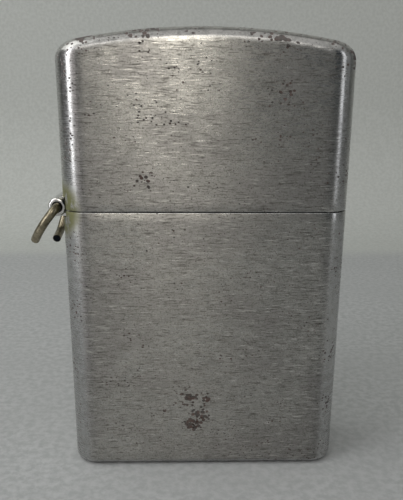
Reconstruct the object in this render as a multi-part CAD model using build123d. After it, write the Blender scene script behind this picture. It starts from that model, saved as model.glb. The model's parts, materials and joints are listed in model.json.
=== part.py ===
from build123d import *
import math
import os

# Windproof flip-top pocket lighter, closed. Millimetres.
# Origin: centre of the flat base. +X from the hinge side to the thumb side,
# +Y from the front face to the back face, +Z up.

# ---- outer case: driving dimensions ----
BODY_W = 36.4            # across the case, without the hinge barrel
BODY_D = 12.8            # front to back
TOTAL_H = 57.6           # base to the crown of the arched lid
SEAM_Z = 35.85           # middle of the gap between case and lid
SEAM_GAP = 0.12
SHEET = 0.7              # case and lid sheet thickness
CORNER_R = 3.27          # rounding of the four upright edges
ARCH_R = 82.8            # long radius of the lid's arched top
TOP_EDGE_R = 1.8         # rounding round the lid's top
BASE_EDGE_R = 1.2        # rounding round the case's bottom
INNER_EDGE_R = 0.5       # least rounding left inside the lid's top
EDGE_BAND = 0.01         # height band in which an edge counts as found
CREASE_DROP = 0.5        # how far under the lid's shoulder its top edges are searched

# ---- hinge ----
HINGE_X = -18.8
HINGE_Z = 36.2
BARREL_R = 1.2
KNUCKLE_BORE_R = 0.84
PIN_R = 0.8              # hollow pin, outside
PIN_BORE_R = 0.62
PIN_MOUTH_R = 0.72       # flared mouth at each end
PIN_MOUTH_L = 0.3
PIN_FLANGE_R = 1.18
PIN_FLANGE_T = 0.4
PIN_FLANGE_ROUND = 0.34
PIN_END_PLAY = 0.02
KNUCKLES = 5
BARREL_LEN = 8.2
KNUCKLE_GAP = 0.08
LEAF_T = 0.35
LEAF_REACH = 8.5         # how far each leaf runs along its wall
NOTCH_PLAY = 0.1         # between the barrel and the slot in the walls
NOTCH_END_PLAY = 0.5     # room past each end of the barrel for the wire's bend
TONGUE_X = 3.0           # reach of the cam tongue inwards from the hinge axis
TONGUE_LOW = 1.3         # underside of the cam tongue above the hinge axis
TONGUE_T = 0.4
TONGUE_HALF_W = 1.8

# ---- loop of wire through the hollow pin ----
WIRE_R = 0.55
WIRE_TURN_Y = 5.6        # where the wire leaves the hinge axis
NEAR_LEG = [(-20.25, -5.6, 34.4), (-21.2, -5.2, 33.0), (-21.86, -4.4, 31.95)]
NEAR_RADII = [1.0, 3.0, 1.6]
FAR_LEG = [(-20.0, 5.6, 33.2), (-20.5, 4.9, 31.4), (-20.55, 2.2, 30.7)]
FAR_RADII = [1.0, 2.4, 1.1]

# ---- insert ----
TANK_X0 = -16.8
TANK_X1 = 17.2
TANK_HALF_Y = 5.55
TANK_R = 2.45
TANK_T = 0.4
TANK_Z0 = 1.0
TANK_Z1 = 37.0
SCREEN_X0 = -7.6         # windscreen box round the wick
SCREEN_X1 = 5.2
SCREEN_HALF_Y = 4.6
SCREEN_T = 0.5
SCREEN_Z1 = 54.4
SCREEN_R = 1.6
WHEEL_EAR_R = 2.4
CAM_EAR_R = 1.8
EAR_ROOT = 3.0           # how far the ears reach into the windscreen's sides
BAY_PLAY = 1.5           # above the wheel where the windscreen's end wall opens
GATE_PLAY = 0.4          # beside the cam spring where it passes the end wall
GATE_HEAD = 0.6
VENT_R = 1.15
VENT_PITCH_X = 4.1
VENT_PITCH_Z = 3.6
VENT_ROWS = (3, 2, 3)
VENT_Z0 = 44.2

# ---- striker ----
WHEEL_X = 9.9
WHEEL_Z = 42.3
WHEEL_R = 3.75
WHEEL_ROOT_R = 3.45
WHEEL_TEETH = 36
WHEEL_W = 5.4
WHEEL_HUB_R = 1.7
WHEEL_RIM_W = 0.7        # rim left round the dish in each side of the wheel
WHEEL_DISH_T = 0.4
TOOTH_LEAN = 0.75        # where the tooth's tip stands along its pitch
AXLE_R = 0.85
AXLE_HEAD_R = 1.6
AXLE_HEAD_T = 0.4
HEAD_ROUND = 0.7         # rounding of a rivet head as a share of its height
RUN_FIT = 0.05           # radial clearance of turning parts

# ---- cam and its spring ----
CAM_X = -11.4
CAM_Z = 40.4
CAM_HUB_R = 1.5
CAM_NOSE_X = -16.6
CAM_NOSE_R = 0.5
CAM_GAP = 0.1
CAM_HALF_Y = 1.6
CAM_RIVET_HEAD_R = 1.2
CAM_RIVET_HEAD_T = 0.35
LEVER_SIDE_PLAY = 0.1
SPRING_LEAF_T = 0.25
SPRING_LEAF_HALF_Y = 1.7
SPRING_RIVET_X = -3.9
SPRING_RIVET_R = 0.6
SPRING_HEAD_R = 1.1
SPRING_HEAD_T = 0.35
SPRING_TAIL_R = 0.95
SPRING_TAIL_T = 0.3
SPRING_TOE = 1.2         # leaf past its rivet, away from the cam
SPRING_HEEL = 1.8        # leaf from its rivet to its upward bend
SPRING_RISE_X = 2.6      # where the leaf levels out again, short of the cam
SPRING_TIP_X = 0.5
SPRING_BEND_R = 1.5
SPRING_GAP = 0.15        # between the leaf and the cam

# ---- flint column ----
TUBE_R = 2.1
TUBE_BORE_R = 1.45
TUBE_Z0 = 2.6
TUBE_Z1 = 38.0
COLUMN_GAP = 0.02        # between the pieces stacked in the flint tube
FLINT_R = 1.25
FLINT_L = 5.0
FLINT_TOP_Z = 38.45
FLINT_CHAMFER = 0.15
TIP_R = 1.2
TIP_T = 0.8
TIP_NOSE_R = 0.55
TIP_NOSE_L = 1.4
COIL_R = 0.92
COIL_WIRE_R = 0.18
COIL_TURNS = 16
SCREW_HEAD_R = 2.9
SCREW_HEAD_T = 1.4
SCREW_SHANK_L = 6.0
SCREW_SLOT_W = 0.8
SCREW_SLOT_T = 0.6
SCREW_FIT = 0.03

# ---- wick, packing and pad ----
WICK_R = 1.45
WICK_X = -1.2
WICK_TOP_Z = 49.4
WICK_SWING_X = 7.0
WICK_BEND_R = 2.6
WICK_PLAY = 0.1          # in its hole through the tank's top
WICK_STRAIGHT = 5.0      # straight run under the tank's top and above the pad
WICK_FIRST_BEND = 4.0
WICK_TURNS = 4
PACK_PLAY = 0.15
PACK_LAYERS = 4
PACK_R = 1.1
PACK_HEAD_ROOM = 0.5
PAD_T = 2.9
PAD_PLAY = 0.3
PAD_LIFT = 0.3           # pad above the tank's open end
PAD_HOLE_PLAY = 0.15     # round the flint screw's head

Y_AXIS_RUN = (90, 0, 0)  # turns an upright cylinder along Y


def cylinder_y(x, z, radius, y0, y1):
    """Cylinder along Y between two Y values."""
    length = y1 - y0
    return Pos(x, (y0 + y1) / 2, z) * Rot(*Y_AXIS_RUN) * Cylinder(radius, length)


def block(x0, x1, y0, y1, z0, z1):
    """Box given by its low and high corners."""
    centre = Pos((x0 + x1) / 2, (y0 + y1) / 2, (z0 + z1) / 2)
    return centre * Box(x1 - x0, y1 - y0, z1 - z0)


def rounded_prism(x0, x1, half_y, radius, z0, z1):
    """Upright prism with four rounded corners."""
    outline = Pos((x0 + x1) / 2, 0, z0) * RectangleRounded(x1 - x0, 2 * half_y, radius)
    return extrude(outline, amount=z1 - z0)


def lighter_outline(inset):
    """Whole closed outer form, shrunk by inset on every side."""
    half_w = BODY_W / 2 - inset
    half_d = BODY_D / 2 - inset
    radius = CORNER_R - inset
    arch_r = ARCH_R - inset
    form = rounded_prism(-half_w, half_w, half_d, radius, inset, TOTAL_H)
    arch = cylinder_y(0, TOTAL_H - ARCH_R, arch_r, -BODY_D, BODY_D)
    form = form & arch
    low = form.edges().filter_by_position(Axis.Z, inset - EDGE_BAND, inset + EDGE_BAND)
    form = fillet(low, BASE_EDGE_R - inset if inset else BASE_EDGE_R)
    arch_drop = ARCH_R - math.sqrt(ARCH_R ** 2 - (BODY_W / 2) ** 2)
    top_low = TOTAL_H - inset - arch_drop - CREASE_DROP
    high = form.edges().filter_by_position(Axis.Z, top_low, TOTAL_H)
    return fillet(high, max(TOP_EDGE_R - inset, INNER_EDGE_R))


def hinge_slot():
    """Space cut through the hinge-side walls for the barrel."""
    half = BARREL_LEN / 2 + PIN_FLANGE_T + NOTCH_END_PLAY
    reach = BARREL_R + NOTCH_PLAY
    return block(HINGE_X - reach, -BODY_W / 2 + SHEET + reach, -half, half,
                 HINGE_Z - reach, HINGE_Z + reach)


def shell():
    """Hollow closed case, before it is parted at the seam."""
    return lighter_outline(0) - lighter_outline(SHEET)


def case_body():
    keep = block(-BODY_W, BODY_W, -BODY_D, BODY_D, -1, SEAM_Z - SEAM_GAP / 2)
    return (shell() & keep) - hinge_slot()


def case_lid():
    keep = block(-BODY_W, BODY_W, -BODY_D, BODY_D, SEAM_Z + SEAM_GAP / 2, TOTAL_H + 1)
    return (shell() & keep) - hinge_slot()


def knuckle_span(index):
    """Y limits of one knuckle of the barrel."""
    pitch = BARREL_LEN / KNUCKLES
    low = -BARREL_LEN / 2 + index * pitch
    trim_low = KNUCKLE_GAP / 2 if index > 0 else 0
    trim_high = KNUCKLE_GAP / 2 if index < KNUCKLES - 1 else 0
    return low + trim_low, low + pitch - trim_high


def hinge_leaf(direction, first):
    """Leaf flat on the inside of a wall, bent out through the slot into its knuckles.

    direction is -1 for the leaf on the case and +1 for the leaf on the lid; first is
    the number of its first knuckle.
    """
    wall_x = -BODY_W / 2 + SHEET
    half = BARREL_LEN / 2
    strap_in = HINGE_Z + direction * (BARREL_R - LEAF_T)
    strap_out = HINGE_Z + direction * BARREL_R
    plate_z = sorted((strap_in, HINGE_Z + direction * LEAF_REACH))
    leaf = block(wall_x, wall_x + LEAF_T, -half, half, *plate_z) & lighter_outline(SHEET)
    for index in range(first, KNUCKLES, 2):
        low, high = knuckle_span(index)
        strap = block(HINGE_X, wall_x + LEAF_T, low, high, *sorted((strap_in, strap_out)))
        leaf = leaf + strap + cylinder_y(HINGE_X, HINGE_Z, BARREL_R, low, high)
    return leaf - cylinder_y(HINGE_X, HINGE_Z, KNUCKLE_BORE_R, -half - 1, half + 1)


def lower_hinge_leaf():
    return hinge_leaf(-1, 0)


def upper_hinge_leaf():
    leaf = hinge_leaf(1, 1)
    wall_x = -BODY_W / 2 + SHEET
    tongue = block(wall_x, HINGE_X + TONGUE_X, -TONGUE_HALF_W, TONGUE_HALF_W,
                   HINGE_Z + TONGUE_LOW, HINGE_Z + TONGUE_LOW + TONGUE_T)
    return leaf + tongue


def hinge_pin():
    """Hollow pin with a domed flange at each end of the barrel."""
    half = BARREL_LEN / 2
    end = half + PIN_FLANGE_T
    pin = cylinder_y(HINGE_X, HINGE_Z, PIN_R, -end, end)
    for side in (-1, 1):
        flange_y = sorted((side * (half + PIN_END_PLAY), side * end))
        flange = cylinder_y(HINGE_X, HINGE_Z, PIN_FLANGE_R, *flange_y)
        rim = flange.edges().filter_by_position(Axis.Y, side * end - EDGE_BAND, side * end + EDGE_BAND)
        pin = pin + fillet(rim, PIN_FLANGE_ROUND)
    pin = pin - cylinder_y(HINGE_X, HINGE_Z, PIN_BORE_R, -end - 1, end + 1)
    for side in (-1, 1):
        mouth = Cone(PIN_BORE_R, PIN_MOUTH_R, PIN_MOUTH_L)
        middle_y = side * (end - PIN_MOUTH_L / 2)
        pin = pin - Pos(HINGE_X, middle_y, HINGE_Z) * Rot(-90 * side, 0, 0) * mouth
    return pin


def lanyard_wire():
    """Open loop of bent wire that turns in the hollow pin."""
    start = (HINGE_X, 0, HINGE_Z)
    solids = []
    legs = ((NEAR_LEG, NEAR_RADII, -WIRE_TURN_Y), (FAR_LEG, FAR_RADII, WIRE_TURN_Y))
    for leg, radii, turn_y in legs:
        points = [start, (HINGE_X, turn_y, HINGE_Z)] + leg
        path = FilletPolyline(*points, radius=radii)
        section = Plane(origin=start, z_dir=(0, turn_y, 0)) * Circle(WIRE_R)
        solids.append(sweep(section, path=path))
    return solids[0] + solids[1]


def insert_tank():
    """Fuel tank: a tube with a top plate, open at the bottom."""
    outer = rounded_prism(TANK_X0, TANK_X1, TANK_HALF_Y, TANK_R, TANK_Z0, TANK_Z1)
    inner = rounded_prism(TANK_X0 + TANK_T, TANK_X1 - TANK_T, TANK_HALF_Y - TANK_T,
                          TANK_R - TANK_T, TANK_Z0 - 1, TANK_Z1 - TANK_T)
    top_edges = outer.edges().filter_by_position(Axis.Z, TANK_Z1 - EDGE_BAND, TANK_Z1 + EDGE_BAND)
    tank = fillet(top_edges, TANK_T) - inner
    tank = tank - Pos(WICK_X, 0, TANK_Z1) * Cylinder(WICK_R + WICK_PLAY, 4 * TANK_T)
    tank = tank - Pos(WHEEL_X, 0, TANK_Z1) * Cylinder(TUBE_R, 4 * TANK_T)
    return tank - Pos(SPRING_RIVET_X, 0, TANK_Z1) * Cylinder(SPRING_RIVET_R, 4 * TANK_T)


def ear(x, z, radius, foot_x0, foot_x1):
    """Side-on outline of a bracket that carries a rivet, standing on the top plate."""
    disc = cylinder_y(x, z, radius, -SCREEN_HALF_Y, SCREEN_HALF_Y)
    foot = block(foot_x0, foot_x1, -SCREEN_HALF_Y, SCREEN_HALF_Y, TANK_Z1, z)
    return disc + foot


def chimney_windscreen():
    """Perforated windscreen, with two pairs of ears for the cam and the striker wheel."""
    inner_y = SCREEN_HALF_Y - SCREEN_T
    tube = rounded_prism(SCREEN_X0, SCREEN_X1, SCREEN_HALF_Y, SCREEN_R, TANK_Z1, SCREEN_Z1)
    ears = ear(WHEEL_X, WHEEL_Z, WHEEL_EAR_R, SCREEN_X1 - EAR_ROOT, WHEEL_X + WHEEL_EAR_R)
    ears = ears + ear(CAM_X, CAM_Z, CAM_EAR_R, CAM_X - CAM_EAR_R, SCREEN_X0 + EAR_ROOT)
    screen = tube + ears
    hollow = rounded_prism(SCREEN_X0 + SCREEN_T, SCREEN_X1 - SCREEN_T, inner_y,
                           SCREEN_R - SCREEN_T, TANK_Z1 - 1, SCREEN_Z1 + 1)
    between = block(-BODY_W / 2, SCREEN_X0, -inner_y, inner_y, TANK_Z1 - 1, SCREEN_Z1)
    between = between + block(SCREEN_X1, BODY_W / 2, -inner_y, inner_y, TANK_Z1 - 1, SCREEN_Z1)
    wheel_bay = block(SCREEN_X1 - SCREEN_T - 1, SCREEN_X1 + 1, -inner_y, inner_y,
                      TANK_Z1 - 1, WHEEL_Z + WHEEL_R + BAY_PLAY)
    gate_y = SPRING_LEAF_HALF_Y + GATE_PLAY
    spring_gate = block(SCREEN_X0 - 1, SCREEN_X0 + SCREEN_T + 1, -gate_y, gate_y,
                        TANK_Z1 - 1, CAM_Z - CAM_HUB_R + GATE_HEAD)
    screen = screen - hollow - between - wheel_bay - spring_gate
    centre_x = (SCREEN_X0 + SCREEN_X1) / 2
    for row, count in enumerate(VENT_ROWS):
        for column in range(count):
            x = centre_x + (column - (count - 1) / 2) * VENT_PITCH_X
            z = VENT_Z0 + row * VENT_PITCH_Z
            screen = screen - cylinder_y(x, z, VENT_R, -BODY_D, BODY_D)
    screen = screen - cylinder_y(WHEEL_X, WHEEL_Z, AXLE_R, -BODY_D, BODY_D)
    return screen - cylinder_y(CAM_X, CAM_Z, SPRING_RIVET_R, -BODY_D, BODY_D)


def striker_wheel():
    """Hardened wheel with slanted cutting teeth and a hub collar each side."""
    inner_y = SCREEN_HALF_Y - SCREEN_T - LEVER_SIDE_PLAY
    rim = []
    step = 2 * math.pi / WHEEL_TEETH
    for tooth in range(WHEEL_TEETH):
        for radius, turn in ((WHEEL_ROOT_R, 0), (WHEEL_R, TOOTH_LEAN)):
            angle = (tooth + turn) * step
            rim.append((WHEEL_X + radius * math.cos(angle), WHEEL_Z + radius * math.sin(angle)))
    outline = Plane.XZ * make_face(Polyline(*rim, close=True))
    wheel = extrude(outline, amount=WHEEL_W / 2, both=True)
    for side in (-1, 1):
        dish_y = sorted((side * WHEEL_W / 2, side * (WHEEL_W / 2 - WHEEL_DISH_T)))
        dish = cylinder_y(WHEEL_X, WHEEL_Z, WHEEL_ROOT_R - WHEEL_RIM_W, *dish_y)
        wheel = wheel - dish
    wheel = wheel + cylinder_y(WHEEL_X, WHEEL_Z, WHEEL_HUB_R, -inner_y, inner_y)
    return wheel - cylinder_y(WHEEL_X, WHEEL_Z, AXLE_R + RUN_FIT, -BODY_D, BODY_D)


def rivet_y(x, z, radius, head_r, head_t):
    """Rivet across the windscreen's ears, with a domed head at each end."""
    rivet = cylinder_y(x, z, radius, -SCREEN_HALF_Y, SCREEN_HALF_Y)
    for side in (-1, 1):
        outer = side * (SCREEN_HALF_Y + head_t)
        head = cylinder_y(x, z, head_r, *sorted((side * SCREEN_HALF_Y, outer)))
        rim = head.edges().filter_by_position(Axis.Y, outer - EDGE_BAND, outer + EDGE_BAND)
        rivet = rivet + fillet(rim, head_t * HEAD_ROUND)
    return rivet


def wheel_axle():
    return rivet_y(WHEEL_X, WHEEL_Z, AXLE_R, AXLE_HEAD_R, AXLE_HEAD_T)


def lid_cam():
    """Lever whose nose holds the lid shut and snaps it open."""
    nose_z = HINGE_Z + TONGUE_LOW + TONGUE_T + CAM_GAP + CAM_NOSE_R
    span = math.dist((CAM_X, CAM_Z), (CAM_NOSE_X, nose_z))
    slope = math.atan2(nose_z - CAM_Z, CAM_NOSE_X - CAM_X)
    lean = math.asin((CAM_HUB_R - CAM_NOSE_R) / span)
    outline = []
    for turn in (math.pi / 2 - lean, -math.pi / 2 + lean):
        angle = slope + turn
        hub = (CAM_X + CAM_HUB_R * math.cos(angle), CAM_Z + CAM_HUB_R * math.sin(angle))
        nose = (CAM_NOSE_X + CAM_NOSE_R * math.cos(angle), nose_z + CAM_NOSE_R * math.sin(angle))
        outline = outline + ([hub, nose] if turn > 0 else [nose, hub])
    web = extrude(Plane.XZ * make_face(Polyline(*outline, close=True)), amount=CAM_HALF_Y, both=True)
    hub_y = SCREEN_HALF_Y - SCREEN_T - LEVER_SIDE_PLAY
    cam = web + cylinder_y(CAM_NOSE_X, nose_z, CAM_NOSE_R, -CAM_HALF_Y, CAM_HALF_Y)
    cam = cam + cylinder_y(CAM_X, CAM_Z, CAM_HUB_R, -hub_y, hub_y)
    return cam - cylinder_y(CAM_X, CAM_Z, SPRING_RIVET_R + RUN_FIT, -BODY_D, BODY_D)


def cam_rivet():
    return rivet_y(CAM_X, CAM_Z, SPRING_RIVET_R, CAM_RIVET_HEAD_R, CAM_RIVET_HEAD_T)


def cam_spring():
    """Leaf spring from its rivet on the top plate to just under the cam."""
    high = CAM_Z - CAM_HUB_R - SPRING_GAP
    low = TANK_Z1 + SPRING_LEAF_T
    foot_x = SPRING_RIVET_X - SPRING_HEEL
    points = [(SPRING_RIVET_X + SPRING_TOE, low), (foot_x, low),
              (CAM_X + SPRING_RISE_X, high), (CAM_X + SPRING_TIP_X, high)]
    top_line = FilletPolyline(*points, radius=SPRING_BEND_R)
    strip = trace_strip(top_line)
    leaf = extrude(Plane.XZ * strip, amount=SPRING_LEAF_HALF_Y, both=True)
    return leaf - Pos(SPRING_RIVET_X, 0, low) * Cylinder(SPRING_RIVET_R, 4 * SPRING_LEAF_T)


def trace_strip(line):
    """Thin strip face hanging below a line."""
    lower = offset_2d_line(line)
    ends = [Line(line @ 0, lower @ 0), Line(line @ 1, lower @ 1)]
    return make_face(Wire(line.edges() + lower.edges() + [end.edge() for end in ends]))


def offset_2d_line(line):
    """The same line, lower by the leaf's thickness."""
    return Pos(0, -SPRING_LEAF_T) * line


def cam_spring_rivet():
    shank = Pos(SPRING_RIVET_X, 0, TANK_Z1 - TANK_T) * Cylinder(
        SPRING_RIVET_R, TANK_T + SPRING_LEAF_T, align=(Align.CENTER, Align.CENTER, Align.MIN))
    head = Pos(SPRING_RIVET_X, 0, TANK_Z1 + SPRING_LEAF_T) * Cylinder(
        SPRING_HEAD_R, SPRING_HEAD_T, align=(Align.CENTER, Align.CENTER, Align.MIN))
    tail = Pos(SPRING_RIVET_X, 0, TANK_Z1 - TANK_T) * Cylinder(
        SPRING_TAIL_R, SPRING_TAIL_T, align=(Align.CENTER, Align.CENTER, Align.MAX))
    return shank + head + tail


def upright(radius, z0, z1, x=WHEEL_X):
    """Upright cylinder on the flint column unless another X is given."""
    return Pos(x, 0, z0) * Cylinder(radius, z1 - z0, align=(Align.CENTER, Align.CENTER, Align.MIN))


def flint_tube():
    return upright(TUBE_R, TUBE_Z0, TUBE_Z1) - upright(TUBE_BORE_R, TUBE_Z0 - 1, TUBE_Z1 + 1)


def flint():
    stick = upright(FLINT_R, FLINT_TOP_Z - FLINT_L, FLINT_TOP_Z)
    return chamfer(stick.edges().filter_by(GeomType.CIRCLE), FLINT_CHAMFER)


def flint_spring_tip():
    """Small stepped cap between the coil and the flint."""
    top = FLINT_TOP_Z - FLINT_L - COLUMN_GAP
    return upright(TIP_R, top - TIP_T, top) + upright(TIP_NOSE_R, top - TIP_T - TIP_NOSE_L, top - TIP_T)


def flint_spring():
    low = TUBE_Z0 + SCREW_SHANK_L + COIL_WIRE_R + COLUMN_GAP
    high = FLINT_TOP_Z - FLINT_L - TIP_T - COIL_WIRE_R - 2 * COLUMN_GAP
    path = Pos(WHEEL_X, 0, low) * Helix((high - low) / COIL_TURNS, high - low, COIL_R)
    section = Plane(origin=path @ 0, z_dir=path % 0) * Circle(COIL_WIRE_R)
    return sweep(section, path=path)


def flint_screw():
    """Slotted screw that closes the flint tube from below."""
    head = upright(SCREW_HEAD_R, TUBE_Z0 - SCREW_HEAD_T, TUBE_Z0)
    slot = block(WHEEL_X - SCREW_HEAD_R, WHEEL_X + SCREW_HEAD_R, -SCREW_SLOT_W / 2, SCREW_SLOT_W / 2,
                 TUBE_Z0 - SCREW_HEAD_T - 1, TUBE_Z0 - SCREW_HEAD_T + SCREW_SLOT_T)
    shank = upright(TUBE_BORE_R - SCREW_FIT, TUBE_Z0, TUBE_Z0 + SCREW_SHANK_L)
    return head + shank - slot


def wick_line():
    """Route of the wick: straight up the windscreen, winding between the packing below."""
    left = WICK_X - WICK_SWING_X
    floor = TANK_Z0 + PAD_T + WICK_STRAIGHT
    run = (TANK_Z1 - floor) / WICK_TURNS
    points = [(WICK_X, 0, WICK_TOP_Z), (WICK_X, 0, TANK_Z1 - WICK_STRAIGHT)]
    for turn in range(1, WICK_TURNS):
        points.append((left if turn % 2 else WICK_X, 0, TANK_Z1 - WICK_FIRST_BEND - turn * run))
    return FilletPolyline(*points, radius=WICK_BEND_R)


def wick_tube(radius):
    path = wick_line()
    section = Plane(origin=path @ 0, z_dir=path % 0) * Circle(radius)
    return sweep(section, path=path)


def wick():
    return wick_tube(WICK_R)


def felt_pad():
    z0 = TANK_Z0 + PAD_LIFT
    reach = TANK_T + PAD_PLAY
    pad = rounded_prism(TANK_X0 + reach, TANK_X1 - reach, TANK_HALF_Y - reach,
                        TANK_R - reach, z0, z0 + PAD_T)
    return pad - upright(SCREW_HEAD_R + PAD_HOLE_PLAY, 0, z0 + PAD_T + 1)


def cotton_packing():
    """Layers of packing round the wick and the flint tube."""
    reach = TANK_T + PACK_PLAY
    low = TANK_Z0 + PAD_LIFT + PAD_T + PACK_PLAY
    pitch = (TANK_Z1 - TANK_T - PACK_HEAD_ROOM - low) / PACK_LAYERS
    groove = wick_tube(WICK_R + PACK_PLAY)
    bore = upright(TUBE_R + PACK_PLAY, 0, TANK_Z1)
    layers = []
    for layer in range(PACK_LAYERS):
        z0 = low + layer * pitch
        ball = rounded_prism(TANK_X0 + reach, TANK_X1 - reach, TANK_HALF_Y - reach,
                             TANK_R - reach, z0, z0 + pitch - PACK_PLAY)
        rims = ball.edges().group_by(Axis.Z)
        ball = fillet(rims[0] + rims[-1], PACK_R)
        layers.append(ball - groove - bore)
    return layers


PARTS = {
    "case_body": case_body,
    "case_lid": case_lid,
    "lower_hinge_leaf": lower_hinge_leaf,
    "upper_hinge_leaf": upper_hinge_leaf,
    "hinge_pin": hinge_pin,
    "lanyard_wire": lanyard_wire,
    "insert_tank": insert_tank,
    "chimney_windscreen": chimney_windscreen,
    "striker_wheel": striker_wheel,
    "wheel_axle": wheel_axle,
    "lid_cam": lid_cam,
    "cam_rivet": cam_rivet,
    "cam_spring": cam_spring,
    "cam_spring_rivet": cam_spring_rivet,
    "flint_tube": flint_tube,
    "flint": flint,
    "flint_spring_tip": flint_spring_tip,
    "flint_spring": flint_spring,
    "flint_screw": flint_screw,
    "wick": wick,
    "felt_pad": felt_pad,
    "cotton_packing": cotton_packing,
}


def main():
    os.makedirs("parts", exist_ok=True)
    for name, make in PARTS.items():
        made = make()
        if isinstance(made, list):
            pieces = []
            for piece in made:
                pieces.extend(piece.solids())
            made = Compound(children=pieces)
        export_step(made, f"parts/{name}.step")


main()
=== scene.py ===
import json
import math

import bmesh
import bpy
from mathutils import Matrix, Vector, noise


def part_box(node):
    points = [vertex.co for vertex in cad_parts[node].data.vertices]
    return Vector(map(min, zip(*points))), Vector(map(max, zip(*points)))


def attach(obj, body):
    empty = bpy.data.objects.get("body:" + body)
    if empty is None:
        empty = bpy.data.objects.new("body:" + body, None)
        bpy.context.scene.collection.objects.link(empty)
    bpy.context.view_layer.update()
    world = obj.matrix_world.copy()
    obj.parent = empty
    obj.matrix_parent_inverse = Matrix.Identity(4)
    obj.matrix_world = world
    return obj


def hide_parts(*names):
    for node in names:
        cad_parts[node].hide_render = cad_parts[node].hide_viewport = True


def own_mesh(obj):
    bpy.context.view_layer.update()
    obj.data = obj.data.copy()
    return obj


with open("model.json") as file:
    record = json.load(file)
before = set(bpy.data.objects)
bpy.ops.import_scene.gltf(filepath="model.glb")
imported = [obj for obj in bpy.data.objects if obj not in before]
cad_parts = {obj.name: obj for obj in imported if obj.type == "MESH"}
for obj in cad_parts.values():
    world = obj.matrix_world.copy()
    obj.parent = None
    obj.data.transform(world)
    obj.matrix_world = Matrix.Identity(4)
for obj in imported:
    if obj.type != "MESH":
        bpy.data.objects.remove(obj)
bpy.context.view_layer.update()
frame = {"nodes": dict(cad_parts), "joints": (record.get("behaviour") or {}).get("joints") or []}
MM = 0.001

# ---- sizes that the frame gives, in metres ----
BODY_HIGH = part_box("case_body")[1]
LID_LOW, LID_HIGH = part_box("case_lid")
HALF_W = BODY_HIGH.x
HALF_D = BODY_HIGH.y
HINGE = next(Vector(j["pos_m"]) for j in frame["joints"] if j["name"] == "lid_hinge")
WICK_HALF_W = 1.45 * MM
WICK_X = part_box("wick")[1].x - WICK_HALF_W
WICK_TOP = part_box("wick")[1].z

# ---- sizes that the case is formed to, in metres ----
CORNER_R = 3.27 * MM
BASE_R = 1.2 * MM
CROWN_R = 1.8 * MM
ARCH_R = 82.8 * MM
SHEET = 0.7 * MM
LIP_R = 0.1 * MM
INNER_R = 0.5 * MM
LIP_DEPTH = 1.5 * LIP_R        # from the rim to where the inner wall starts
DENT = 0.025 * MM
DENT_FADE = 4 * MM             # dents die away over this distance from the seam
DENT_WAVES = ((90, 1.0), (260, 0.4))    # features per metre, share
SLOT_PLAY = 0.1 * MM
SLOT_END_PLAY = 0.5 * MM

# ---- how finely the shells are divided ----
SIDE_STEPS, CORNER_STEPS, FACE_STEPS = 6, 14, 56
BASE_STEPS, CROWN_STEPS, LIP_STEPS, INNER_STEPS = 8, 10, 3, 4
BODY_WALL_STEPS, LID_WALL_STEPS, INNER_WALL_STEPS = 30, 20, 4
MERGE = 1e-6
SHARP = math.radians(40)


# ------------------------------------------------------------------ mesh tools

def new_piece(name, mesh, body, slot, *replaced):
    """Link a mesh as a piece that rides on a body and stands for CAD nodes."""
    piece = bpy.data.objects.new(name, mesh)
    bpy.context.scene.collection.objects.link(piece)
    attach(piece, body)
    if replaced:
        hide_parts(*replaced)
    return piece


def mesh_from(bm, name):
    """Finish a bmesh: outward normals, smooth shading apart from sharp edges."""
    bmesh.ops.remove_doubles(bm, verts=bm.verts, dist=MERGE)
    bmesh.ops.recalc_face_normals(bm, faces=bm.faces)
    for face in bm.faces:
        face.smooth = True
    for edge in bm.edges:
        if len(edge.link_faces) == 2 and edge.calc_face_angle() > SHARP:
            edge.smooth = False
    mesh = bpy.data.meshes.new(name)
    bm.to_mesh(mesh)
    bm.free()
    return mesh


def outline(inset):
    """Rounded rectangle seen from above, from the middle of the hinge side round the front."""
    half_w, half_d, radius = HALF_W - inset, HALF_D - inset, CORNER_R - inset
    path = []
    for step in range(SIDE_STEPS):
        path.append((-half_w, -(half_d - radius) * step / SIDE_STEPS))
    for step in range(CORNER_STEPS):
        turn = math.pi / 2 * step / CORNER_STEPS
        path.append((-half_w + radius - radius * math.cos(turn),
                     -half_d + radius - radius * math.sin(turn)))
    for step in range(FACE_STEPS // 2):
        path.append((-(half_w - radius) * (1 - 2 * step / FACE_STEPS), -half_d))
    path.append((0, -half_d))
    front = path + [(-x, y) for x, y in reversed(path[:-1])]
    back = [(x, -y) for x, y in reversed(front[1:-1])]
    return front + back


def crown_z(x):
    """Height of the arched top at x."""
    return LID_HIGH.z - ARCH_R + math.sqrt(ARCH_R ** 2 - x ** 2)


def add_ring(bm, inset, height):
    """Ring of vertices on the outline; height is a number or a function of x."""
    ring = []
    for x, y in outline(inset):
        z = height(x) if callable(height) else height
        ring.append(bm.verts.new((x, y, z)))
    return ring


def skin_rings(bm, rings):
    """Quads between each ring and the next."""
    count = len(rings[0])
    for low, high in zip(rings, rings[1:]):
        for i in range(count):
            j = (i + 1) % count
            bm.faces.new((low[i], low[j], high[j], high[i]))


def cap_ring(bm, ring):
    """Close a ring straight across from front to back."""
    count = len(ring)
    half = count // 2
    for i in range(half):
        j = i + 1
        corners = [ring[i], ring[j], ring[(count - j) % count], ring[(count - i) % count]]
        unique = list(dict.fromkeys(corners))
        if len(unique) >= 3:
            bm.faces.new(unique)


def wall_levels(start, end, count):
    """Even steps from one height to another, both included."""
    return [start + (end - start) * step / count for step in range(count + 1)]


def lip(bm, edge_z, toward):
    """Rings over the sheet's rim, from the outside to the inside."""
    rings = []
    for centre, start in ((LIP_R, 0), (SHEET - LIP_R, math.pi / 2)):
        for step in range(LIP_STEPS + 1):
            turn = start + math.pi / 2 * step / LIP_STEPS
            inset = centre - LIP_R * math.cos(turn)
            rings.append(add_ring(bm, inset, edge_z - toward * LIP_R * (1 - math.sin(turn))))
    return rings


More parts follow.
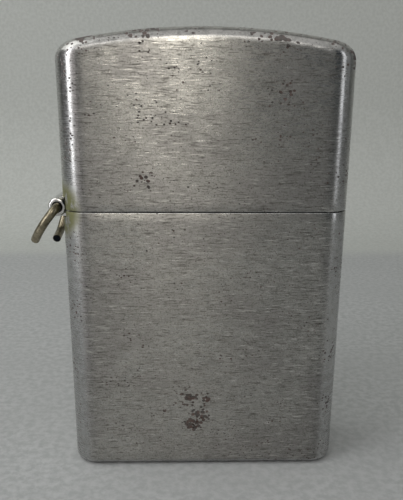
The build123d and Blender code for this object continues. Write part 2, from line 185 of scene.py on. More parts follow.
def wobble(bm, seed, quiet_z):
    """Very slight unevenness of hand-worn sheet, fading out near the seam."""
    shift = Vector((seed, 0, 0))
    for vert in bm.verts:
        fade = min(1, abs(vert.co.z - quiet_z) / DENT_FADE)
        wave = sum(share * noise.noise(vert.co * pitch + shift) for pitch, share in DENT_WAVES)
        inward = Vector((-vert.co.x / HALF_W, -vert.co.y / HALF_D, 0))
        vert.co += inward * max(0, wave) * DENT * fade


def inner_corner(bm, height):
    """Rings round the corner between the inner wall and the sheet across the end."""
    rings = []
    for step in range(1, INNER_STEPS + 1):
        turn = math.pi / 2 * step / INNER_STEPS
        inset = SHEET + INNER_R * (1 - math.cos(turn))
        rings.append(add_ring(bm, inset, height(INNER_R * (1 - math.sin(turn)))))
    return rings


def close_shell(bm, rings, seed, rim, name):
    """Skin the rings, close both ends and dent the sheet a little."""
    skin_rings(bm, rings)
    cap_ring(bm, rings[0])
    cap_ring(bm, rings[-1])
    wobble(bm, seed, rim)
    return mesh_from(bm, name)


def case_shell():
    """Lower case: rounded bottom, straight walls and a softened rim."""
    bm = bmesh.new()
    rings = []
    for step in range(BASE_STEPS + 1):
        turn = math.pi / 2 * step / BASE_STEPS
        rings.append(add_ring(bm, BASE_R * (1 - math.sin(turn)), BASE_R * (1 - math.cos(turn))))
    rim = BODY_HIGH.z
    rings += [add_ring(bm, 0, z) for z in wall_levels(BASE_R, rim - LIP_R, BODY_WALL_STEPS)[1:]]
    rings += lip(bm, rim, 1)
    rings += [add_ring(bm, SHEET, z) for z in wall_levels(rim - LIP_DEPTH, SHEET + INNER_R, INNER_WALL_STEPS)]
    rings += inner_corner(bm, lambda lift: SHEET + lift)
    return close_shell(bm, rings, 3.1, rim, "case_body_shell")


def lid_shell():
    """Lid: softened rim, straight walls and an arched crown with rounded edges."""
    bm = bmesh.new()
    rim = LID_LOW.z
    rings = []
    for step in reversed(range(CROWN_STEPS + 1)):
        turn = math.pi / 2 * step / CROWN_STEPS
        drop = CROWN_R * (1 - math.sin(turn))
        rings.append(add_ring(bm, CROWN_R * (1 - math.cos(turn)), lambda x, d=drop: crown_z(x) - d))
    for step in range(1, LID_WALL_STEPS + 1):
        part = step / LID_WALL_STEPS
        rings.append(add_ring(bm, 0, lambda x, p=part: (crown_z(x) - CROWN_R) * (1 - p) + (rim + LIP_R) * p))
    rings += lip(bm, rim, -1)
    for step in range(INNER_WALL_STEPS + 1):
        part = step / INNER_WALL_STEPS
        rings.append(add_ring(bm, SHEET, lambda x, p=part: (rim + LIP_DEPTH) * (1 - p) + (
            crown_z(x) - SHEET - INNER_R) * p))
    rings += inner_corner(bm, lambda lift: lambda x: crown_z(x) - SHEET - lift)
    return close_shell(bm, rings, 8.4, rim, "case_lid_shell")


def remeshed(node, voxel):
    """New object with a CAD node's form, divided evenly enough to be worked on."""
    piece = bpy.data.objects.new(node + "_work", frame["nodes"][node].data.copy())
    bpy.context.scene.collection.objects.link(piece)
    piece.matrix_world = frame["nodes"][node].matrix_world.copy()
    modifier = piece.modifiers.new("even", "REMESH")
    modifier.mode = "VOXEL"
    modifier.voxel_size = voxel
    bpy.context.view_layer.update()
    graph = bpy.context.evaluated_depsgraph_get()
    mesh = bpy.data.meshes.new_from_object(piece.evaluated_get(graph))
    mesh.transform(piece.matrix_world)
    bpy.data.objects.remove(piece)
    mesh.name = node + "_cloth"
    mesh.update()
    for face in mesh.polygons:
        face.use_smooth = True
    return mesh


def sink(mesh, depth_at):
    """Move each vertex inwards along its normal by a depth that depends on the place."""
    normals = [vert.normal.copy() for vert in mesh.vertices]
    for vert, normal in zip(mesh.vertices, normals):
        vert.co -= normal * depth_at(vert.co, normal)
    mesh.update()


def lumps(place, pitch):
    """Noise from 0 to 1; pitch is features per metre."""
    return 0.5 + 0.5 * noise.noise(place * pitch)


def felt_depth(place, _normal):
    """Matted wool: shallow dents with a fine nap over them."""
    return (0.10 * lumps(place, 420) + 0.07 * lumps(place, 2600)) * MM


def cotton_depth(place, _normal):
    """Pressed cotton: deep folds between tufts, broken by strands."""
    folds = abs(noise.noise(place * 330 + Vector((3, 1, 7))))
    tufts = abs(noise.noise(place * 900))
    strands = lumps(place, 2400)
    return (0.45 * (1 - min(1, 3 * folds)) + 0.22 * (1 - min(1, 3 * tufts)) + 0.12 * strands) * MM


# ---- the wick's braid, in metres ----
BRAID_RISE = 1.5 * MM
FRAYED_LENGTH = 1.2 * MM
FACING_UP = 0.4


def braid_depth(place, normal):
    """Braided wick: crossing strands along its upright run, frayed at the top."""
    turn = math.atan2(place.y, place.x - WICK_X)
    rise = place.z / BRAID_RISE
    first = abs(math.sin(2.5 * turn + math.pi * rise))
    second = abs(math.sin(2.5 * turn - math.pi * rise))
    cords = 1 - max(first, second) ** 2
    depth = 0.22 * cords + 0.05 * lumps(place, 3000)
    if WICK_TOP - place.z < FRAYED_LENGTH and normal.z > FACING_UP:
        depth += 0.5 * lumps(place, 1900)
    return depth * MM


def box_mesh(low, high):
    """Upright box between two corners."""
    bm = bmesh.new()
    size = high - low
    bmesh.ops.create_cube(bm, size=1, matrix=Matrix.Translation((low + high) / 2) @ Matrix.Diagonal(
        (size.x, size.y, size.z, 1)))
    mesh = bpy.data.meshes.new("cutter")
    bm.to_mesh(mesh)
    bm.free()
    return mesh


def cut_hinge_slot(piece):
    """Open the hinge-side wall round the barrel, as the CAD shells are."""
    reach = HINGE.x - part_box("lower_hinge_leaf")[0].x + SLOT_PLAY
    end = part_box("hinge_pin")[1].y + SLOT_END_PLAY
    low = Vector((HINGE.x - reach, -end, HINGE.z - reach))
    high = Vector((-HALF_W + SHEET + reach, end, HINGE.z + reach))
    cutter = bpy.data.objects.new("cutter", box_mesh(low, high))
    bpy.context.scene.collection.objects.link(cutter)
    modifier = piece.modifiers.new("slot", "BOOLEAN")
    modifier.operation = "DIFFERENCE"
    modifier.solver = "EXACT"
    modifier.object = cutter
    bpy.context.view_layer.update()
    graph = bpy.context.evaluated_depsgraph_get()
    cut = bpy.data.meshes.new_from_object(piece.evaluated_get(graph))
    piece.modifiers.clear()
    piece.data = cut
    bpy.data.objects.remove(cutter)


# ------------------------------------------------------------------ node tools

class Nodes:
    """Short way to write a material's node tree."""

    def __init__(self, name):
        self.material = bpy.data.materials.new(name)
        self.material.use_nodes = True
        self.tree = self.material.node_tree
        self.tree.nodes.clear()
        self.out = self.add("ShaderNodeOutputMaterial")
        self.place = self.add("ShaderNodeTexCoord").outputs["Object"]
        self.normal = self.add("ShaderNodeNewGeometry").outputs["Normal"]

    def add(self, kind, settings=None, **inputs):
        node = self.tree.nodes.new(kind)
        for key, value in (settings or {}).items():
            setattr(node, key, value)
        for key, value in inputs.items():
            socket = node.inputs[int(key[1:])] if key[0] == "i" and key[1:].isdigit() else node.inputs[key]
            self.feed(socket, value)
        return node

    def feed(self, socket, value):
        if isinstance(value, bpy.types.NodeSocket):
            self.tree.links.new(value, socket)
        else:
            socket.default_value = value

    def scaled(self, scale):
        """The object's own coordinates, stretched; scale is features per metre."""
        mapping = self.add("ShaderNodeMapping", Vector=self.place, Scale=scale)
        return mapping.outputs["Vector"]

    def noise(self, scale, detail=3.0, roughness=0.55):
        node = self.add("ShaderNodeTexNoise", Vector=self.scaled(scale), Scale=1.0, Detail=detail,
                        Roughness=roughness)
        return node.outputs["Fac"]

    def cells(self, scale):
        node = self.add("ShaderNodeTexVoronoi", Vector=self.scaled(scale), Scale=1.0)
        return node.outputs["Distance"]

    def math(self, operation, a, b, clamp=False):
        node = self.add("ShaderNodeMath", {"operation": operation, "use_clamp": clamp}, i0=a, i1=b)
        return node.outputs[0]

    def ramp(self, value, low, high, out_low=0.0, out_high=1.0):
        """Smooth step of a value between two limits."""
        node = self.add("ShaderNodeMapRange", {"interpolation_type": "SMOOTHSTEP"}, i0=value, i1=low,
                        i2=high, i3=out_low, i4=out_high)
        return node.outputs["Result"]

    def mix(self, amount, a, b):
        node = self.add("ShaderNodeMix", {"data_type": "RGBA"})
        self.feed(node.inputs["Factor"], amount)
        self.feed(node.inputs["A"], a)
        self.feed(node.inputs["B"], b)
        return node.outputs["Result"]

    def axis(self, vector, letter):
        return self.add("ShaderNodeSeparateXYZ", i0=vector).outputs[letter]

    def near(self, centre, reach, squeeze=(1, 1, 1)):
        """1 at a place on the object, falling to 0 at a distance; all in millimetres."""
        offset = self.add("ShaderNodeMapping", {"vector_type": "POINT"}, Vector=self.place)
        offset.inputs["Location"].default_value = [-c * MM * s for c, s in zip(centre, squeeze)]
        offset.inputs["Scale"].default_value = squeeze
        length = self.add("ShaderNodeVectorMath", {"operation": "LENGTH"}, i0=offset.outputs[0])
        return self.ramp(length.outputs["Value"], 0.0, reach * MM, 1.0, 0.0)

    def bump(self, height, depth, strength=1.0, normal=None):
        node = self.add("ShaderNodeBump", Height=height, Distance=depth, Strength=strength)
        if normal is not None:
            self.feed(node.inputs["Normal"], normal)
        return node.outputs["Normal"]

    def finish(self, **inputs):
        shader = self.add("ShaderNodeBsdfPrincipled")
        for key, value in inputs.items():
            self.feed(shader.inputs[key.replace("_", " ")], value)
        self.tree.links.new(shader.outputs[0], self.out.inputs["Surface"])
        return self.material


# ------------------------------------------------------------------ materials

# Rust on the case: place and reach in millimetres, weight. 1 or more is a solid core.
RUST_SPOTS = [
    ((-1.7, -6.4, 6.3), 2.2, 1.35),
    ((-0.4, -6.4, 8.0), 2.2, 0.95),
    ((-2.2, -6.4, 10.6), 1.9, 0.95),
    ((0.2, -6.4, 10.4), 1.4, 1.0),
    ((-13.7, -6.4, 5.8), 1.0, 0.7),
    ((-13.9, -6.4, 3.3), 0.9, 0.7),
    ((-5.4, -6.4, 8.3), 0.9, 0.6),
    ((-7.2, -6.4, 7.6), 0.8, 0.6),
    ((16.7, -6.3, 9.4), 2.2, 0.7),
    ((9.5, -6.4, 50.3), 2.6, 0.45),
    ((9.0, -6.4, 45.0), 2.4, 0.45),
    ((-13.8, -6.2, 47.8), 2.0, 0.5),
    ((-7.5, -6.4, 39.8), 2.0, 0.95),
    ((12.0, -4.4, 56.6), 3.0, 0.42),
    ((8.6, -4.8, 57.0), 2.6, 0.40),
    ((5.0, -5.0, 57.3), 2.4, 0.36),
    ((0.0, -4.6, 57.5), 2.4, 0.6),
    ((-14.3, -5.0, 56.2), 2.2, 0.9),
    ((-6.0, -4.8, 57.3), 2.0, 0.6),
    ((18.0, -4.6, 54.4), 1.8, 1.3),
    ((17.9, -5.2, 41.0), 2.6, 0.5),
]
PIT_SHARE = 0.25          # how far small pits grow in their cells where they are densest
SMALL_PIT_TONE = 0.85     # small pits are a little paler than the clusters
BRUSHED = 0.87            # how much the brushing stretches reflections upright

# Where the top band of the lid starts to be the most pitted and to take the painted highlight, and the band
# at the base that is darkened as a painted contact shadow.
TOP_BAND = (53.5 * MM, 57 * MM)
BASE_SHADE_BAND = (0.25 * MM, 0.8 * MM)

# Green stain by the hinge, in millimetres.
STAIN_PLACE, STAIN_REACH, STAIN_SQUEEZE = (-18.2, -3.2, 36.0), 6.0, (1.5, 0.62, 1.2)

STEEL_CLEAN = (0.43, 0.42, 0.40, 1)
STEEL_TARNISHED = (0.28, 0.27, 0.265, 1)
STEEL_MOTTLED = (0.25, 0.25, 0.235, 1)
STEEL_GRAIN = (0.12, 0.115, 0.10, 1)
STEEL_DULL = (0.10, 0.093, 0.085, 1)
STEEL_GLINT = (0.82, 0.80, 0.76, 1)
STEEL_EDGE = (0.56, 0.565, 0.565, 1)
# Painted highlight: near-white metal for the lit rounding along the top of the lid.
STEEL_TOP_HIGHLIGHT = (0.86, 0.82, 0.79, 1)
RUST_TONES = ((0.012, 0.006, 0.004, 1), (0.060, 0.022, 0.014, 1))
VERDIGRIS_TONES = ((0.20, 0.21, 0.05, 1), (0.13, 0.125, 0.06, 1))
# Painted shade: near-black for the dark contact line along the bottom of the case.
BASE_SHADE_TONE = (0.02, 0.02, 0.022, 1)
WEAR = 0.5                # how much bare, lighter metal shows along the grain of the small parts
MARK_TONE = (0.03, 0.022, 0.016, 1)
BURNT_TONE = (0.012, 0.014, 0.018, 1)


def hairs(n, up, pitch, detail):
    """Noise drawn out level, both on the walls and on the top; pitch is along and across."""
    along, across = pitch
    on_walls = n.noise((along, along, across), detail)
    on_top = n.noise((along, across, along), detail)
    return n.mix(up, on_walls, on_top)


def brushing(n, up):
    """Fine hairs over longer streaks."""
    fine = hairs(n, up, (900, 8200), 2.0)
    long = hairs(n, up, (520, 4600), 3.0)
    return n.math("ADD", n.math("MULTIPLY", fine, 0.6), n.math("MULTIPLY", long, 0.4))


def brushed_tone(n, streak, flat, tarnish):
    """Steel with tarnish, mottle, grain and the brushing's dull and bright hairs."""
    glint = n.ramp(streak, 0.56, 0.64)
    dull = n.ramp(streak, 0.46, 0.37)
    mottle = n.noise((520, 520, 900), 3.0, 0.6)
    grain = n.ramp(n.noise((5200, 5200, 5200), 2.0, 0.6), 0.5, 0.68)
    base = n.mix(n.math("MULTIPLY", tarnish, 0.6), STEEL_CLEAN, STEEL_TARNISHED)
    base = n.mix(n.ramp(mottle, 0.35, 0.7, 0.0, 0.4), base, STEEL_MOTTLED)
    base = n.mix(n.math("MULTIPLY", grain, 0.6), base, STEEL_GRAIN)
    base = n.mix(n.math("MULTIPLY", dull, n.math("MULTIPLY", flat, 0.75)), base, STEEL_DULL)
    return n.mix(n.math("MULTIPLY", glint, n.math("MULTIPLY", flat, 0.5)), base, STEEL_GLINT)


def rust_pits(n, edges, top_band):
    """How rusted each place is: many small pits, and ragged clusters at the rust spots."""
    patches = n.ramp(n.noise((300, 300, 300), 3.0), 0.44, 0.6)
    density = n.ramp(n.noise((170, 170, 200), 4.0, 0.65), 0.38, 0.68, 0.06, 1.0)
    density = n.math("ADD", density, n.math("MULTIPLY", top_band, n.math("MULTIPLY", patches, 0.9)))
    density = n.math("ADD", density, n.math("MULTIPLY", edges, n.math("MULTIPLY", patches, 0.5)))
    spots = 0.0
    for centre, reach, share in RUST_SPOTS:
        spots = n.math("ADD", spots, n.math("MULTIPLY", n.near(centre, reach), share))
    crowd = n.math("ADD", density, n.math("MULTIPLY", spots, 2.0))
    small = n.math("SUBTRACT", n.math("MULTIPLY", crowd, PIT_SHARE), n.cells((1700, 1700, 2100)))
    size = n.math("ADD", n.math("MULTIPLY", spots, 0.62), n.math("MULTIPLY", density, 0.10))
    ragged = n.math("MULTIPLY", n.noise((4200, 4200, 4200), 3.0, 0.7), 0.75)
    large = n.math("SUBTRACT", size, n.math("ADD", n.cells((3000, 3000, 3800)), ragged))
    small_pit = n.math("MULTIPLY", n.ramp(small, -0.03, 0.03), SMALL_PIT_TONE)
    return n.math("MAXIMUM", small_pit, n.ramp(large, -0.07, 0.0))


def hinge_stain(n):
    """Verdigris that has crept out from the hinge, broken by noise."""
    near = n.ramp(n.near(STAIN_PLACE, STAIN_REACH, STAIN_SQUEEZE), 0.0, 0.5)
    return n.math("MULTIPLY", near, n.ramp(n.noise((800, 800, 420), 4.0, 0.6), 0.34, 0.5))


def case_metal():
    """Worn satin plating: fine level brushing, polished corners, rust pits and tarnish, with a painted
    highlight along the top edge and a painted shadow line at the base.
    """
    n = Nodes("case_satin_steel")
    facing = n.add("ShaderNodeVectorMath", {"operation": "ABSOLUTE"}, i0=n.normal).outputs[0]
    up = n.ramp(n.axis(facing, "Z"), 0.55, 0.85)
    flat = n.ramp(n.axis(facing, "Y"), 0.90, 0.992)
    edges = n.math("SUBTRACT", 1.0, flat)
    top_band = n.ramp(n.axis(n.place, "Z"), *TOP_BAND)
    tarnish = n.ramp(n.noise((110, 110, 150), 3.0, 0.5), 0.42, 0.62)
    streak = brushing(n, up)
    pits = rust_pits(n, edges, top_band)
    stain = hinge_stain(n)

    worn = n.ramp(n.noise((1500, 1500, 1100), 4.0, 0.65), 0.35, 0.6, 0.25, 0.6)
    worn_edges = n.math("MULTIPLY", edges, worn)
    base = n.mix(worn_edges, brushed_tone(n, streak, flat, tarnish), STEEL_EDGE)
    # Painted highlight: the rounded edges in the top band go near-white where the wear noise allows, standing
    # in for the overhead light's line along the crown.
    base = n.mix(n.math("MULTIPLY", top_band, worn_edges), base, STEEL_TOP_HIGHLIGHT)
    rust = n.mix(n.ramp(n.noise((2600, 2600, 2600)), 0.4, 0.65), *RUST_TONES)
    base = n.mix(n.math("MULTIPLY", pits, 0.96), base, rust)
    verdigris = n.mix(n.noise((1500, 1500, 1100)), *VERDIGRIS_TONES)
    base = n.mix(n.math("MULTIPLY", stain, 0.9), base, verdigris)
    # Painted shadow: the lowest rounding of the case goes near-black, standing in for the contact shadow
    # where it meets the floor.
    base = n.mix(n.ramp(n.axis(n.place, "Z"), *BASE_SHADE_BAND, 0.9, 0.0), base, BASE_SHADE_TONE)

    metal = n.math("SUBTRACT", 1.0, n.math("MAXIMUM", pits, n.math("MULTIPLY", stain, 0.55)))
    rough = n.math("ADD", n.ramp(streak, 0.35, 0.65, 0.37, 0.22), n.math("MULTIPLY", edges, -0.09))
    rough = n.math("ADD", rough, n.math("MULTIPLY", tarnish, 0.06))
    rough = n.math("ADD", rough, n.math("MULTIPLY", n.math("MAXIMUM", pits, stain), 0.4), clamp=True)
    shine = n.math("SUBTRACT", 0.5, n.math("MULTIPLY", pits, 0.35))

    height = n.math("MULTIPLY", streak, n.math("ADD", n.math("MULTIPLY", flat, 0.8), 0.2))
    brushed = n.bump(height, 0.012 * MM, 0.8)
    speckle = n.noise((3600, 3600, 3600), 3.0, 0.7)
    speckled = n.bump(speckle, 0.010 * MM, n.math("MULTIPLY", edges, 0.6), brushed)
    pitted = n.bump(n.math("SUBTRACT", 1.0, pits), 0.03 * MM, 0.7, speckled)
    tangent = n.add("ShaderNodeTangent", {"direction_type": "RADIAL", "axis": "Z"}).outputs[0]
    return n.finish(Base_Color=base, Metallic=metal, Roughness=rough, Specular_IOR_Level=shine,
                    Normal=pitted, Tangent=tangent, Anisotropic=n.math("MULTIPLY", flat, BRUSHED),
                    Anisotropic_Rotation=0.25)


def toned(colour, factor):
    """A colour made lighter or darker, held to white."""
    return tuple(min(1, c * factor) for c in colour[:3]) + (1,)


def plain_metal(name, light, dark, rough, grain, depth=0.006, cut_ends=()):
    """Metal with two tones, grain along a chosen direction and small marks; cut ends go black."""
    n = Nodes(name)
    grains = n.noise(grain, 3.0)
    cloud = n.noise((350, 350, 350), 4.0, 0.6)
    marks = n.ramp(n.cells((1300, 1300, 1300)), 0.12, 0.02)
    marks = n.math("MULTIPLY", marks, n.ramp(cloud, 0.5, 0.65))
    tone = n.mix(n.ramp(cloud, 0.35, 0.65), light, dark)
    tone = n.mix(n.ramp(grains, 0.55, 0.8, 0.0, WEAR), tone, toned(light, 1.35))
    tone = n.mix(n.math("MULTIPLY", marks, 0.8), tone, MARK_TONE)
    for place, reach in cut_ends:
        tone = n.mix(n.ramp(n.near(place, reach), 0.0, 0.35), tone, BURNT_TONE)
    uneven = n.ramp(grains, 0.3, 0.7, rough - 0.06, rough + 0.08)
    roughness = n.math("ADD", uneven, n.math("MULTIPLY", marks, 0.3))
    normal = n.bump(grains, depth * MM, 0.6)
    return n.finish(Base_Color=tone, Metallic=1.0, Roughness=roughness, Normal=normal)


def fibre(name, light, dark, scale, depth):
    """Soft fibrous cloth: tangled strands, fuzz and uneven tone."""
    n = Nodes(name)
    strands = n.noise(scale, 6.0, 0.7)
    clumps = n.noise((420, 420, 420), 3.0)
    tone = n.mix(n.ramp(strands, 0.35, 0.65), dark, light)
    tone = n.mix(n.ramp(clumps, 0.5, 0.75, 0.0, 0.35), tone, toned(dark, 0.8))
    height = n.math("ADD", strands, n.math("MULTIPLY", clumps, 0.6))
    return n.finish(Base_Color=tone, Roughness=n.ramp(strands, 0.3, 0.7, 0.98, 0.8),
                    Sheen_Weight=0.4, Sheen_Roughness=0.6, Normal=n.bump(height, depth * MM, 1.0))


# The sheet's tone changes from the table's to the wall's between these distances, in metres.
WALL_TONE = (0.112, 0.128)


def floor_cloth():
    """Pale matt table cover with a faint mottle, a little greener up the wall."""
    n = Nodes("pale_floor")
    speckle = n.noise((900, 900, 900), 4.0, 0.6)
    cloud = n.noise((60, 60, 60), 3.0)
    tone = n.mix(n.ramp(speckle, 0.35, 0.65), (0.40, 0.41, 0.41, 1), (0.50, 0.51, 0.51, 1))
    tone = n.mix(n.ramp(cloud, 0.35, 0.65, 0.0, 0.35), tone, (0.42, 0.43, 0.43, 1))
    wall = n.mix(n.ramp(speckle, 0.35, 0.65), (0.50, 0.515, 0.49, 1), (0.56, 0.575, 0.55, 1))
    tone = n.mix(n.ramp(n.axis(n.place, "Y"), *WALL_TONE), tone, wall)
    return n.finish(Base_Color=tone, Roughness=n.ramp(speckle, 0.3, 0.7, 0.9, 0.8),
                    Specular_IOR_Level=0.25, Normal=n.bump(speckle, 0.12 * MM, 0.6))


def paint(names, material):
    """Give CAD nodes a material in place of their own."""
    for name in names:
        mesh = frame["nodes"][name].data
        mesh.materials.clear()
        mesh.materials.append(material)


# ------------------------------------------------------------------ pieces

# Cut ends of the lanyard wire, in millimetres, and how far the black reaches.
WIRE_ENDS = [((-21.9, -4.42, 31.85), 0.62), ((-20.55, 2.1, 30.67), 0.75)]

steel = case_metal()
for maker, piece_name, body, node in ((case_shell, "case_body_shell", "case", "case_body"),
                                      (lid_shell, "case_lid_shell", "lid", "case_lid")):
    shell = new_piece(piece_name, maker(), body, "case_steel", node)
    cut_hinge_slot(shell)
    shell.data.materials.clear()
    shell.data.materials.append(steel)

# Metals: material, light tone, dark tone, roughness, grain in features per metre, options, CAD nodes.
METALS = [
    ("hinge_nickel", (0.78, 0.77, 0.75, 1), (0.60, 0.59, 0.56, 1), 0.16, (2500, 600, 2500), {},
     ["lower_hinge_leaf", "upper_hinge_leaf", "hinge_pin"]),
    ("wire_bronze", (0.34, 0.30, 0.215, 1), (0.13, 0.115, 0.075, 1), 0.3, (1800, 1800, 700),
     {"depth": 0.01, "cut_ends": WIRE_ENDS}, ["lanyard_wire"]),
    ("insert_steel", (0.60, 0.60, 0.58, 1), (0.46, 0.45, 0.43, 1), 0.3, (700, 700, 5000), {},
     ["insert_tank"]),
    ("screen_steel", (0.55, 0.54, 0.52, 1), (0.34, 0.31, 0.27, 1), 0.34, (900, 900, 4200), {},
     ["chimney_windscreen"]),
    ("wheel_steel", (0.24, 0.23, 0.22, 1), (0.12, 0.11, 0.10, 1), 0.38, (2600, 2600, 2600), {},
     ["striker_wheel"]),
    ("cam_steel", (0.46, 0.46, 0.45, 1), (0.32, 0.31, 0.29, 1), 0.32, (1500, 1500, 3000), {},
     ["lid_cam"]),
    ("spring_steel", (0.48, 0.49, 0.52, 1), (0.34, 0.35, 0.38, 1), 0.26, (900, 4000, 4000), {},
     ["cam_spring"]),
    ("tube_brass", (0.72, 0.56, 0.28, 1), (0.52, 0.38, 0.17, 1), 0.3, (1500, 1500, 1500), {},
     ["wheel_axle", "cam_rivet", "cam_spring_rivet", "flint_tube", "flint_spring_tip", "flint_screw"]),
    ("flint_alloy", (0.26, 0.24, 0.22, 1), (0.16, 0.14, 0.12, 1), 0.55, (4000, 4000, 4000),
     {"depth": 0.02}, ["flint"]),
]
metals = {}
for metal_name, light_tone, dark_tone, rough, grain, options, nodes in METALS:
    metals[metal_name] = plain_metal(metal_name, light_tone, dark_tone, rough, grain, **options)
    paint(nodes, metals[metal_name])

wick_cloth = fibre("wick_cotton", (0.74, 0.68, 0.56, 1), (0.45, 0.38, 0.28, 1), (3500, 3500, 2200), 0.08)
felt = fibre("felt_wool", (0.66, 0.65, 0.62, 1), (0.42, 0.41, 0.38, 1), (2600, 2600, 2600), 0.1)
cotton = fibre("packing_cotton", (0.88, 0.86, 0.80, 1), (0.66, 0.63, 0.56, 1), (1500, 1500, 1500), 0.2)

# The flint's spring shortens as the flint is pressed down; here it is a fixed copy of its mesh on the case.
coil_mesh = frame["nodes"]["flint_spring"].data.copy()
coil_mesh.transform(frame["nodes"]["flint_spring"].matrix_world)
coil_mesh.materials.clear()
coil_mesh.materials.append(metals["spring_steel"])
coil = new_piece("flint_spring_coil", coil_mesh, "case", "spring_steel", "flint_spring")
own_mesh(coil)

# Soft pieces: node, voxel in millimetres, shaping, cloth, the record's slot.
SOFT_PIECES = [
    ("felt_pad", 0.28, felt_depth, felt, "felt_wool"),
    ("cotton_packing", 0.30, cotton_depth, cotton, "packing_cotton"),
    ("wick", 0.14, braid_depth, wick_cloth, "wick_cotton"),
]
for node, voxel, depth_at, cloth, slot_name in SOFT_PIECES:
    soft_mesh = remeshed(node, voxel * MM)
    sink(soft_mesh, depth_at)
    soft_mesh.materials.clear()
    soft_mesh.materials.append(cloth)
    soft = new_piece(node + "_soft", soft_mesh, "case", slot_name, node)


# ------------------------------------------------------------------ stage, light, camera

STAGE_HALF_W, STAGE_COLUMNS, STAGE_TOP = 2.4, 24, 1.2
FLOOR_ROWS = (-2.4, -0.6, -0.2, 0.13)
WALL_BEND, BEND_STEPS = 0.05, 8


def grid_mesh(name, profile, half_width, steps):
    """Sheet swept along X from a side-on profile of (y, z) points."""
    bm = bmesh.new()
    rows = []
    for step in range(steps + 1):
        x = -half_width + 2 * half_width * step / steps
        rows.append([bm.verts.new((x, y, z)) for y, z in profile])
    for low, high in zip(rows, rows[1:]):
        for i in range(len(profile) - 1):
            bm.faces.new((low[i], low[i + 1], high[i + 1], high[i]))
    return mesh_from(bm, name)


def build_stage():
    """Floor that bends up into a wall behind the lighter."""
    foot = FLOOR_ROWS[-1]
    profile = [(y, 0.0) for y in FLOOR_ROWS]
    for step in range(1, BEND_STEPS + 1):
        turn = math.pi / 2 * step / BEND_STEPS
        profile.append((foot + WALL_BEND * math.sin(turn), WALL_BEND * (1 - math.cos(turn))))
    profile.append((foot + WALL_BEND, STAGE_TOP))
    floor = bpy.data.objects.new("floor", grid_mesh("floor", profile, STAGE_HALF_W, STAGE_COLUMNS))
    bpy.context.scene.collection.objects.link(floor)
    floor.data.materials.append(floor_cloth())


MIDDLE = (0, 0, 0.03)
WORLD_LEFT = (0.195, 0.19, 0.19, 1)
WORLD_RIGHT = (0.002, 0.012, 0.026, 1)
WORLD_SIDE = (0.22, 0.225, 0.225, 1)
WORLD_TOP = (0.44, 0.445, 0.435, 1)

# Where one world tone turns into the next, as parts of a unit direction.
LEFT_TO_RIGHT, RIGHT_TO_SIDE, SIDE_TO_TOP = (-0.35, 0.25), (0.6, 0.9), (0.35, 0.9)

# Softboxes: name, place, target, size, watts, colour.
LIGHTS = [
    ("front_softbox", (-0.03, -0.58, 0.29), MIDDLE, (0.11, 0.36), 0.50, (1.0, 0.95, 0.85)),
    ("front_band", (-0.04, -0.42, 0.40), MIDDLE, (0.44, 0.18), 0.30, (1.0, 0.98, 0.95)),
    ("front_left_fill", (-0.36, -0.50, 0.16), MIDDLE, (0.24, 0.22), 0.12, (1.0, 0.93, 0.97)),
    ("left_softbox", (-0.17, -0.12, 0.15), MIDDLE, (0.12, 0.16), 0.06, (0.965, 0.96, 1.0)),
    ("left_strip", (-0.31, -0.21, 0.10), MIDDLE, (0.10, 0.34), 0.38, (0.97, 0.975, 1.0)),
    ("right_strip", (0.30, -0.19, 0.10), MIDDLE, (0.09, 0.30), 0.09, (0.93, 0.95, 1.0)),
    ("back_softbox", (-0.28, 0.05, 0.38), (-0.02, 0.06, 0.02), (0.50, 0.30), 0.60, (0.985, 1.0, 0.975)),
]


def area_light(name, place, target, size, energy, colour):
    """Rectangular softbox that faces its target."""
    data = bpy.data.lights.new(name, "AREA")
    data.shape = "RECTANGLE"
    data.size, data.size_y = size
    data.energy = energy
    data.color = colour
    light = bpy.data.objects.new(name, data)
    light.location = place
    light.rotation_euler = (Vector(target) - Vector(place)).to_track_quat("-Z", "Y").to_euler()
    bpy.context.scene.collection.objects.link(light)


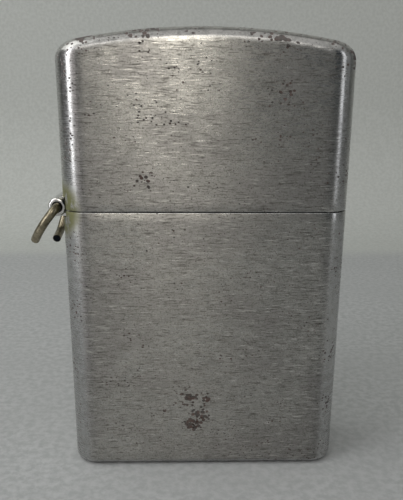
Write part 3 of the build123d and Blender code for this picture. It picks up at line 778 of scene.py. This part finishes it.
def build_world():
    """Dim room: pale ceiling, grey to the left, dark blue to the front right, grey at the far right."""
    world = bpy.data.worlds.new("studio")
    world.use_nodes = True
    tree = world.node_tree
    tree.nodes.clear()

    def limits(value, low, high):
        node = tree.nodes.new("ShaderNodeMapRange")
        node.interpolation_type = "SMOOTHSTEP"
        node.inputs["From Min"].default_value = low
        node.inputs["From Max"].default_value = high
        tree.links.new(value, node.inputs["Value"])
        return node.outputs["Result"]

    def blend(amount, first, second):
        node = tree.nodes.new("ShaderNodeMix")
        node.data_type = "RGBA"
        tree.links.new(amount, node.inputs["Factor"])
        for socket, value in ((node.inputs["A"], first), (node.inputs["B"], second)):
            if isinstance(value, tuple):
                socket.default_value = value
            else:
                tree.links.new(value, socket)
        return node.outputs["Result"]

    coord = tree.nodes.new("ShaderNodeTexCoord")
    split = tree.nodes.new("ShaderNodeSeparateXYZ")
    tree.links.new(coord.outputs["Generated"], split.inputs[0])
    side = blend(limits(split.outputs["X"], *LEFT_TO_RIGHT), WORLD_LEFT, WORLD_RIGHT)
    side = blend(limits(split.outputs["X"], *RIGHT_TO_SIDE), side, WORLD_SIDE)
    whole = blend(limits(split.outputs["Z"], *SIDE_TO_TOP), side, WORLD_TOP)
    back = tree.nodes.new("ShaderNodeBackground")
    out = tree.nodes.new("ShaderNodeOutputWorld")
    tree.links.new(whole, back.inputs["Color"])
    tree.links.new(back.outputs[0], out.inputs[0])
    bpy.context.scene.world = world


def build_light():
    for name, place, target, size, energy, colour in LIGHTS:
        area_light(name, place, target, size, energy, colour)
    build_world()


# Camera: place and lens in millimetres, turns in degrees, clipping in metres.
CAMERA_PLACE = (-2.05, -81.27, 48.79)
CAMERA_TILT, CAMERA_YAW, CAMERA_ROLL = 16.13, -1.19, 0.29
LENS, SENSOR, LENS_SHIFT = 43.73, 36.0, 0.0598
CLIP_NEAR, CLIP_FAR = 0.002, 10


def build_camera():
    """Camera close in front, a little above, looking down on the lighter."""
    tilt, yaw, roll = (math.radians(turn) for turn in (CAMERA_TILT, CAMERA_YAW, CAMERA_ROLL))
    data = bpy.data.cameras.new("camera")
    data.lens = LENS
    data.sensor_width = SENSOR
    data.shift_y = LENS_SHIFT
    data.clip_start = CLIP_NEAR
    data.clip_end = CLIP_FAR
    camera = bpy.data.objects.new("camera", data)
    ahead = Vector((-math.sin(yaw) * math.cos(tilt), math.cos(yaw) * math.cos(tilt), -math.sin(tilt)))
    right = Vector((math.cos(yaw), math.sin(yaw), 0))
    above = right.cross(ahead)
    turned_right = right * math.cos(roll) + above * math.sin(roll)
    turned_above = above * math.cos(roll) - right * math.sin(roll)
    basis = Matrix((turned_right, turned_above, -ahead)).transposed()
    camera.matrix_world = Matrix.Translation([c * MM for c in CAMERA_PLACE]) @ basis.to_4x4()
    bpy.context.scene.collection.objects.link(camera)
    bpy.context.scene.camera = camera


build_stage()
build_light()
build_camera()
bpy.context.scene.view_settings.view_transform = "Standard"
